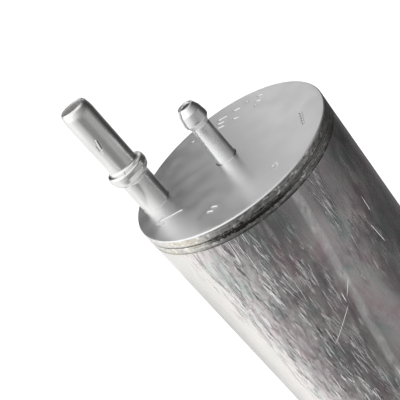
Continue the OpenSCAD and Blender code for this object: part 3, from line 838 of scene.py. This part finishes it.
def build_nipple(metals):
    """The vent nipple: a barb on a slightly tapered stem, and a flange under the lid."""
    low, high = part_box("vent_nipple")
    length = high.z - TOP_Z
    barb = 3.3 * MM
    stem = NIPPLE_R - 0.18 * MM
    under = -LID_T
    flange = NIPPLE_R + 2.2 * MM
    bore = 1.3 * MM
    corners = [(bore, low.z - TOP_Z, 0), (stem, low.z - TOP_Z, 0.2 * MM), (stem, under - 1 * MM, 0.1 * MM),
               (flange, under - 1 * MM, 0.2 * MM), (flange, under, 0.2 * MM), (NIPPLE_R, under, 0),
               (NIPPLE_R, 0, 0), (NIPPLE_R - 0.36 * MM, 11.1 * MM, 0.7 * MM), (barb, 12.5 * MM, 0.22 * MM),
               (barb, 13.1 * MM, 0.4 * MM), (barb - 0.42 * MM, 15.3 * MM, 1.5 * MM),
               (NIPPLE_R - 0.75 * MM, length, 0.2 * MM), (bore + 0.15 * MM, length, 0.1 * MM),
               (bore, length - 0.5 * MM, 0)]
    profile = [(r, TOP_Z + z) for r, z in rounded(corners)]
    return tube_piece("barbed_nipple", metals, "vent_nipple",
                      subdivided(profile, 0.8 * MM), bore)


def build_fillets(metals):
    """Thin uneven braze fillets where each tube meets the shell; the nipple's is a darker braze, painted
    shade round its foot.
    """
    bm = bmesh.new()
    for x, radius, face_z, up, leg in ((OUTLET_X, FEED_R, TOP_Z, 1, 0.16 * MM),
                                       (0.0, NIPPLE_R, TOP_Z, 1, 0.24 * MM),
                                       (INLET_X, FEED_R, BOTTOM_Z, -1, 0.4 * MM),
                                       (0.0, RETURN_R, BOTTOM_Z, -1, 0.4 * MM)):
        hollow = arc(radius + leg, leg, leg - 0.03 * MM, 267, 183, 8)
        section = [(radius + 0.02 * MM, 0.0), (radius + leg, 0.0)] + hollow + [(radius + 0.02 * MM, leg)]

        def uneven(angle, r, z, x=x):
            p = Vector((*polar(4.0, angle), x * 3000))
            return noise.noise(p) * 0.05 * MM if r > radius + 0.1 * MM else 0.0

        revolve(bm, [(r, face_z + up * z) for r, z in section], TUBE_STEPS, (x, 0.0), shift=uneven)
    # the nipple's ring takes the darker braze: painted shade round its foot
    second_material(bm, lambda p: p.z > 0 and p.to_2d().length < 2 * NIPPLE_R)
    return finished(bm, "braze_rings", metals, "braze_fillets")


# ---- finishes of the pieces inside
WEAVE_PITCH = 0.55 * MM


def paper(name, colour, fibre_colour, scale, depth):
    """Matt fibrous sheet, such as resin-treated filter paper; depth is in mm."""
    g = Graph(name, 0.0, 0.85, fibre_colour)
    fibres = g.noise((1, 1, 0.3), scale, 4, 0.7, 1.2)
    cloud = g.noise(EVEN, scale / 12)
    g.paint(g.band(fibres, 0.38, 0.62), colour)
    g.paint(g.band(cloud, 0.4, 0.65, 0.0, 0.3), fibre_colour)
    g.emboss(fibres, depth * MM)
    return g.finish(g.band(fibres, 0.3, 0.7, 0.78, 0.92))


def rubber():
    """Moulded nitrile rubber, dusted with a paler bloom."""
    g = Graph("seal_rubber", 0.0, 0.55, (0.020, 0.020, 0.022))
    grain = g.noise(EVEN, 3000, 3, 0.6)
    bloom = g.noise(EVEN, 260, 3)
    g.paint(g.band(bloom, 0.48, 0.68), (0.052, 0.051, 0.05))
    g.emboss(grain, 0.012 * MM)
    return g.finish(g.band(bloom, 0.4, 0.7, 0.45, 0.68))


def adhesive():
    """Amber potting resin with small trapped bubbles."""
    g = Graph("potting_adhesive", 0.0, 0.3, (0.50, 0.33, 0.12))
    cloud = g.noise(EVEN, 180, 3)
    bubbles = g.add("ShaderNodeTexVoronoi")
    g.put(bubbles.inputs["Vector"], g.coords)
    bubbles.inputs["Scale"].default_value = 900
    bubble = g.band(bubbles.outputs["Distance"], 0.12, 0.2, 1.0, 0.0)
    g.paint(g.band(cloud, 0.35, 0.65), (0.38, 0.23, 0.07))
    g.paint(g.times(bubble, 0.5), (0.72, 0.58, 0.34))
    g.emboss(bubble, 0.02 * MM)
    return g.finish(g.band(cloud, 0.3, 0.7, 0.24, 0.4))


def coated_cloth():
    """Rubber-coated fabric, whose plain weave shows through."""
    g = Graph("coated_cloth", 0.0, 0.6, (0.070, 0.030, 0.016))
    thread = 2 * math.pi / WEAVE_PITCH
    warp, weft = (g.math("SINE", g.times(part, thread)) for part in g.xyz()[:2])
    weave = g.times(warp, weft)
    wear = g.noise(EVEN, 400, 3, 0.6)
    g.paint(g.band(weave, -0.8, 0.8), (0.135, 0.062, 0.034))
    g.paint(g.band(wear, 0.5, 0.7, 0.0, 0.4), (0.17, 0.085, 0.05))
    g.emboss(weave, 0.03 * MM)
    return g.finish(g.band(wear, 0.3, 0.7, 0.5, 0.7))


def paint_inner_nodes():
    """Gives the CAD solids that keep their own shape their finishes."""
    tin = satin_metal("tin_plate", (0.74, 0.75, 0.77), 0.26)
    steel = satin_metal("regulator_plate", (0.72, 0.70, 0.60), 0.3)
    seal = rubber()
    finishes = {
        "upper_end_disc": tin, "lower_end_disc": tin, "centre_tube": tin,
        "return_tube": satin_metal("inner_tube_metal", (0.7, 0.7, 0.7), 0.28),
        "regulator_base": steel, "regulator_cover": steel, "spring_seat": steel,
        "valve_holder": satin_metal("turned_steel", (0.5, 0.5, 0.52), 0.25, lines=(1, 1, 12)),
        "valve_ball": satin_metal("ball_metal", (0.85, 0.85, 0.87), 0.08, 0.01),
        "valve_seat": satin_metal("seat_brass", (0.80, 0.60, 0.28), 0.25, lines=(1, 1, 12)),
        "filter_media": paper("filter_paper", (0.80, 0.68, 0.42), (0.62, 0.48, 0.26), 2600, 0.03),
        "media_adhesive": adhesive(),
        "element_seal": seal, "element_bore_seal": seal, "return_socket_seal": seal, "vent_seal": seal,
    }
    for node, material in finishes.items():
        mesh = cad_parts[node].data
        mesh.materials.clear()
        mesh.materials.append(material)


# ---- pieces inside with a new shape
SPRING_R = 6.1 * MM
SPRING_WIRE_R = 0.7 * MM
SPRING_TURNS = 5
ELEMENT_SPRING_R = 11 * MM
ELEMENT_WIRE_R = 0.8 * MM
ELEMENT_TURNS = 3.5
COIL_SIDES = 16
STEPS_PER_TURN = 56


def coil_heights(turns, wire_r, rise):
    """Height of the wire's centre at each step: the end turns lie closed, the others are evenly open."""
    steps = round(turns * STEPS_PER_TURN)
    opened = []
    for i in range(steps):
        from_end = min(i + 0.5, steps - i - 0.5) / STEPS_PER_TURN
        opened.append(eased((from_end - 0.45) / 0.5))
    closed_pitch = 2.03 * wire_r  # the closed turns hardly touch
    spare = (rise - closed_pitch * turns) / sum(opened)
    heights = [0.0]
    for share in opened:
        heights.append(heights[-1] + closed_pitch / STEPS_PER_TURN + spare * share)
    return heights


def build_coil(name, node, metal, mean_r, wire_r, turns):
    """A compression spring of round wire, inside its CAD node's box."""
    low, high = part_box(node)
    rise = high.z - low.z - 2 * wire_r
    bm = bmesh.new()
    rings = []
    for i, height in enumerate(coil_heights(turns, wire_r, rise)):
        turn = 2 * math.pi * i / STEPS_PER_TURN
        ring = []
        for k in range(COIL_SIDES):
            out, up = polar(wire_r, 2 * math.pi * k / COIL_SIDES)
            z = low.z + wire_r + height + up
            ring.append(bm.verts.new((*polar(mean_r + out, turn), z)))
        rings.append(ring)
    loft(bm, rings, capped=True)
    return finished(bm, name, [metal], node)


def build_diaphragm(cloth):
    """A moulded sheet with a rolled convolution between its clamped rim and the valve's plates."""
    low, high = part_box("diaphragm")
    rim_r = high.x
    inner_r = 2.1 * MM
    plate_r = 8.1 * MM
    rim_in_r = 9.8 * MM
    sheet = 0.56 * MM
    top = [(inner_r, low.z + sheet + 0.02 * MM, 0), (plate_r, low.z + sheet + 0.02 * MM, 0.5 * MM),
           (rim_in_r, high.z, 0.5 * MM), (rim_r, high.z, 0.15 * MM)]
    under = [(rim_r, high.z - 0.84 * MM, 0.15 * MM), (rim_in_r + 0.1 * MM, high.z - 0.84 * MM, 0.3 * MM),
             (plate_r + 0.3 * MM, low.z, 0.3 * MM), (inner_r, low.z, 0)]
    bm = bmesh.new()
    revolve(bm, subdivided(rounded(top + under), 0.6 * MM), DIAPHRAGM_STEPS)
    return finished(bm, "diaphragm_sheet", [cloth], "diaphragm")


def build_screen(metal):
    """The woven screen: upright wires that pass in front of and behind the hoops."""
    low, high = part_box("regulator_screen")
    wire_r = 0.055 * MM
    outer = high.x - wire_r - 0.01 * MM
    mean_r = outer - wire_r
    uprights, hoops, sides = 132, 9, 6
    pitch = (high.z - low.z - 2 * wire_r) / (hoops - 1)
    bm = bmesh.new()

    def wire(path, hoop):
        """Adds a wire along (angle, r, z) points: a closed hoop, or an upright with capped ends. Its
        section stands across the path."""
        rings = []
        for angle, r, z in path:
            ring = []
            for k in range(sides):
                out, along = polar(wire_r, 2 * math.pi * k / sides)
                turn = angle + (0.0 if hoop else along / r)
                height = z + (along if hoop else 0.0)
                ring.append(bm.verts.new((*polar(r + out, turn), height)))
            rings.append(ring)
        loft(bm, rings, closed=hoop, capped=not hoop)

    def woven(side, k):
        """A wire's radius at its k-th half pitch, where it starts on one side of the weave."""
        return mean_r + side * wire_r * math.cos(math.pi * k / 2)

    foot = low.z + wire_r
    for i in range(uprights):
        side, angle = 1 if i % 2 else -1, 2 * math.pi * i / uprights
        wire([(angle, woven(side, k), foot + pitch * k / 2) for k in range(2 * hoops - 1)], False)
    for row in range(hoops):
        side, z = -1 if row % 2 else 1, foot + pitch * row
        wire([(math.pi * i / uprights, woven(side, i), z) for i in range(2 * uprights)], True)
    return finished(bm, "screen_mesh", [metal], "regulator_screen")


# ---- stage
def level_at(stops, azimuth):
    """Light level at an azimuth in degrees, eased between (azimuth, level) stops that close up."""
    loop = [(stops[-1][0] - 360, stops[-1][1])] + stops + [(stops[0][0] + 360, stops[0][1])]
    for (a, low), (b, high) in zip(loop, loop[1:]):
        if a <= azimuth <= b:
            return low + (high - low) * eased((azimuth - a) / (b - a))


def surround(name, stops, inner, outer, shares=(1.0, 1.0)):
    """A ring of light panels that only shows in reflections, between two (radius, z) edges.
    Its level changes with the azimuth from +X, and is scaled by a share at each edge."""
    bm = bmesh.new()
    layer = bm.verts.layers.float.new("level")
    columns = []
    for azimuth in range(-180, 180, 2):
        a = math.radians(azimuth)
        column = [bm.verts.new((*polar(r, a), z)) for r, z in (inner, outer)]
        for vert, share in zip(column, shares):
            vert[layer] = share * level_at(stops, azimuth)
        columns.append(column)
    for (a, b), (c, d) in zip(columns, columns[1:] + columns[:1]):
        bm.faces.new((a, c, d, b))
    mesh = mesh_of(bm, name)
    material = new_material(name)
    tree = material.node_tree
    tree.nodes.remove(tree.nodes["Principled BSDF"])
    light = tree.nodes.new("ShaderNodeEmission")
    level = tree.nodes.new("ShaderNodeAttribute")
    level.attribute_name = "level"
    tree.links.new(level.outputs["Fac"], light.inputs["Strength"])
    tree.links.new(light.outputs[0], tree.nodes["Material Output"].inputs["Surface"])
    mesh.materials.append(material)
    obj = in_scene(name, mesh)
    obj.visible_camera = obj.visible_diffuse = obj.visible_shadow = obj.visible_transmission = False


# Levels of the reflected panels round the object, as (azimuth, level) stops. From below: the panels on the
# floor, three rings that stand beside the can and the tubes, one above them, and the ring that closes in
# over the lid.
LOW_LIGHT = [(-178, 1.16), (-166, 1.16), (-150, 0.76), (-133, 0.42), (-118, 0.30), (-104, 0.23),
             (-89, 0.2), (-72, 0.17), (-56, 0.36), (-38, 0.37), (-18, 0.16), (-2, 0.10), (13, 0.10),
             (28, 0.09), (50, 0.08), (75, 0.2), (100, 0.5), (130, 0.7), (139, 0.64), (155, 0.82),
             (170, 1.02)]
SIDE_LIGHT = [(-178, 1.1), (-157, 1.1), (-142, 0.88), (-127, 0.75), (-112, 0.56), (-97, 0.27), (-67, 0.27),
              (-53, 0.38), (-38, 0.5), (-23, 0.46), (-8, 0.55), (7, 0.25), (22, 0.1), (37, 0.05),
              (60, 0.06), (80, 0.2), (105, 0.7), (125, 0.98), (150, 0.98)]
MID_LIGHT = [(-178, 1.5), (-150, 1.5), (-130, 1.3), (-110, 1.0), (-90, 0.75), (-70, 0.5), (-50, 0.33),
             (-30, 0.22), (-10, 0.15), (10, 0.08), (35, 0.05), (60, 0.06), (80, 0.2), (100, 0.35),
             (116, 0.1), (134, 0.08), (150, 0.6), (165, 1.3)]
HIGH_LIGHT = [(-178, 1.6), (-150, 1.65), (-130, 1.5), (-110, 1.3), (-90, 1.05), (-70, 0.75), (-50, 0.52),
              (-30, 0.37), (-10, 0.27), (10, 0.14), (30, 0.08), (55, 0.1), (75, 0.2), (86, 0.68),
              (97, 1.02), (104, 0.48), (111, 0.02), (136, 0.01), (152, 0.6), (165, 1.3)]
UPPER_LIGHT = sorted([stop for stop in HIGH_LIGHT if not 50 < stop[0] < 110] + [(60, 0.08), (105, 0.12)])
TOP_LIGHT = [(-160, 1.15), (0, 1.15), (22, 0.4), (70, 0.3), (90, 0.8), (102, 1.15)]


def build_floor():
    bm = bmesh.new()
    bmesh.ops.create_circle(bm, cap_ends=True, segments=96, radius=8.0)
    mesh = mesh_of(bm, "floor")
    obj = in_scene("floor", mesh)
    obj.location.z = CAD_BOX[0][2]
    material = new_material("floor_white")
    shader = material.node_tree.nodes["Principled BSDF"]
    shader.inputs["Base Color"].default_value = (0.94, 0.94, 0.94, 1.0)
    shader.inputs["Roughness"].default_value = 0.9
    shader.inputs["Specular IOR Level"].default_value = 0.1
    mesh.materials.append(material)


def build_lamp():
    """A broad soft light over the object, hidden from reflections."""
    data = bpy.data.lights.new("top_soft", "AREA")
    data.shape = "SQUARE"
    data.size = LAMP_SIZE
    data.energy = LAMP_WATTS
    obj = in_scene("top_soft", data)
    obj.location = LAMP_PLACE
    obj.rotation_euler = (-Vector(LAMP_PLACE)).to_track_quat("-Z", "Y").to_euler()
    obj.visible_glossy = False


BACKDROP_LEVEL = 1.12
CEILING_LEVEL = 0.68
LAMP_PLACE = (-0.5, 0.3, 1.6)
LAMP_SIZE = 2.4
LAMP_WATTS = 10
# The floor's panels: dimmed by SHADE under the can, out to SHADED_R, and at full level from OPEN_R
SHADE = 0.4
SHADED_R = 0.05
OPEN_R = 0.125
# The standing rings of panels from the floor up, with their top edges, and the top ring's inner edge
SURROUND_R = 0.3
STANDING = (("side_panels", SIDE_LIGHT, 0.095), ("mid_panels", MID_LIGHT, 0.155),
            ("high_panels", HIGH_LIGHT, 0.28), ("upper_panels", UPPER_LIGHT, 0.34))
TOP_INNER_EDGE = (0.12, 0.46)


def build_stage():
    world = bpy.data.worlds.new("studio")
    bpy.context.scene.world = world
    world.use_nodes = True
    tree = world.node_tree
    # the backdrop is white, and reflections see a softer grey ceiling
    path = tree.nodes.new("ShaderNodeLightPath")
    level = tree.nodes.new("ShaderNodeMapRange")
    level.inputs["To Min"].default_value = BACKDROP_LEVEL
    level.inputs["To Max"].default_value = CEILING_LEVEL
    tree.links.new(path.outputs["Is Glossy Ray"], level.inputs["Value"])
    tree.links.new(level.outputs[0], tree.nodes["Background"].inputs["Strength"])
    tree.nodes["Background"].inputs["Color"].default_value = (1.0, 1.0, 1.0, 1.0)
    build_floor()
    build_lamp()
    floor = CAD_BOX[0][2] + MM
    surround("under_panels", LOW_LIGHT, (MM, floor), (SHADED_R, floor), (SHADE, SHADE))
    surround("near_panels", LOW_LIGHT, (SHADED_R, floor), (OPEN_R, floor), (SHADE, 1.0))
    surround("low_panels", LOW_LIGHT, (OPEN_R, floor), (SURROUND_R, floor))
    low = floor
    for name, stops, high in STANDING:
        surround(name, stops, (SURROUND_R, low), (SURROUND_R, high))
        low = high
    surround("top_panels", TOP_LIGHT, (SURROUND_R, low), TOP_INNER_EDGE)
    view = bpy.context.scene.view_settings
    view.view_transform = "Standard"
    view.look = "None"


CAMERA_AZIMUTH = math.radians(19.78)
CAMERA_ELEVATION = math.radians(25.79)
CAMERA_ROLL = math.radians(-40.71)
CAMERA_DISTANCE = 180.7 * MM
CAMERA_AIM = (-8.02 * MM, -12.16 * MM, TOP_Z)
CAMERA_LENS = 69.5


def build_camera():
    """Looks down on the lid from the front right, with the can running to the lower right."""
    azimuth, elevation, roll = CAMERA_AZIMUTH, CAMERA_ELEVATION, CAMERA_ROLL
    back = Vector((math.sin(azimuth) * math.cos(elevation), -math.cos(azimuth) * math.cos(elevation),
                   math.sin(elevation)))
    level = Vector((math.cos(azimuth), math.sin(azimuth), 0.0))
    upright = back.cross(level)
    right = math.cos(roll) * level + math.sin(roll) * upright
    up = back.cross(right)
    data = bpy.data.cameras.new("camera")
    data.lens = CAMERA_LENS
    data.sensor_width = 36
    data.clip_start = 0.01
    obj = in_scene("camera", data)
    turn = Matrix((right, up, back)).transposed().to_4x4()
    obj.matrix_world = Matrix.Translation(Vector(CAMERA_AIM) + back * CAMERA_DISTANCE) @ turn
    bpy.context.scene.camera = obj


# ---- build
build_camera()
build_stage()

dark_bore = satin_metal("nipple_bore_metal", (0.34, 0.34, 0.34), 0.45)
tube_metals = [spigot_metal(), bore_metal()]
build_lid(satin_metal("lid_metal", (0.80, 0.80, 0.805), 0.37, 0.012, specks=0.0, grain_depth=0.0),
          band_metal("skirt_metal", (0.62, 0.615, 0.605), (0.36, 0.355, 0.35)))
build_can(can_wall_metal(), band_metal("rim_metal", (0.68, 0.675, 0.665), (0.30, 0.297, 0.29)))
build_seam(weld_metal())
build_spigot("outlet_tube", "outlet_spigot", tube_metals, OUTLET_X, FEED_R, TOP_Z, 1)
build_spigot("inlet_tube", "inlet_spigot", tube_metals, INLET_X, FEED_R, BOTTOM_Z, -1)
build_return_spigot(tube_metals)
# the nipple gets painted shade on its right side near the lid
nipple_metal = satin_metal("nipple_metal", (0.82, 0.82, 0.82), 0.24, 0.02, specks=0.0, grain_depth=0.0,
                           tint_and_painted_light=0.6)
build_nipple([nipple_metal, dark_bore])
build_fillets([braze_metal("braze_metal", (0.45, 0.445, 0.44), (0.2, 0.195, 0.19), 0.004, OUTLET_X,
                           painted_lit_flank=(-125, 75, 110)),
               braze_metal("painted_shade_braze_metal", (0.34, 0.335, 0.33), (0.12, 0.115, 0.11), 0.02, 0.0,
                           painted_lit_flank=(-78, 22, 50))])
paint_inner_nodes()
build_screen(satin_metal("screen_wire", (0.62, 0.62, 0.64), 0.3))
build_coil("element_coil", "element_spring", satin_metal("spring_wire", (0.46, 0.46, 0.48), 0.28),
           ELEMENT_SPRING_R, ELEMENT_WIRE_R, ELEMENT_TURNS)
regulator_coil = build_coil("regulator_coil", "regulator_spring",
                            satin_metal("regulator_wire", (0.5, 0.5, 0.52), 0.25),
                            SPRING_R, SPRING_WIRE_R, SPRING_TURNS)
diaphragm = build_diaphragm(coated_cloth())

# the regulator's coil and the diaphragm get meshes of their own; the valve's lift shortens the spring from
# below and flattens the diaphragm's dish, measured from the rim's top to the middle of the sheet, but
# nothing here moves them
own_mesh(regulator_coil)
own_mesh(diaphragm)
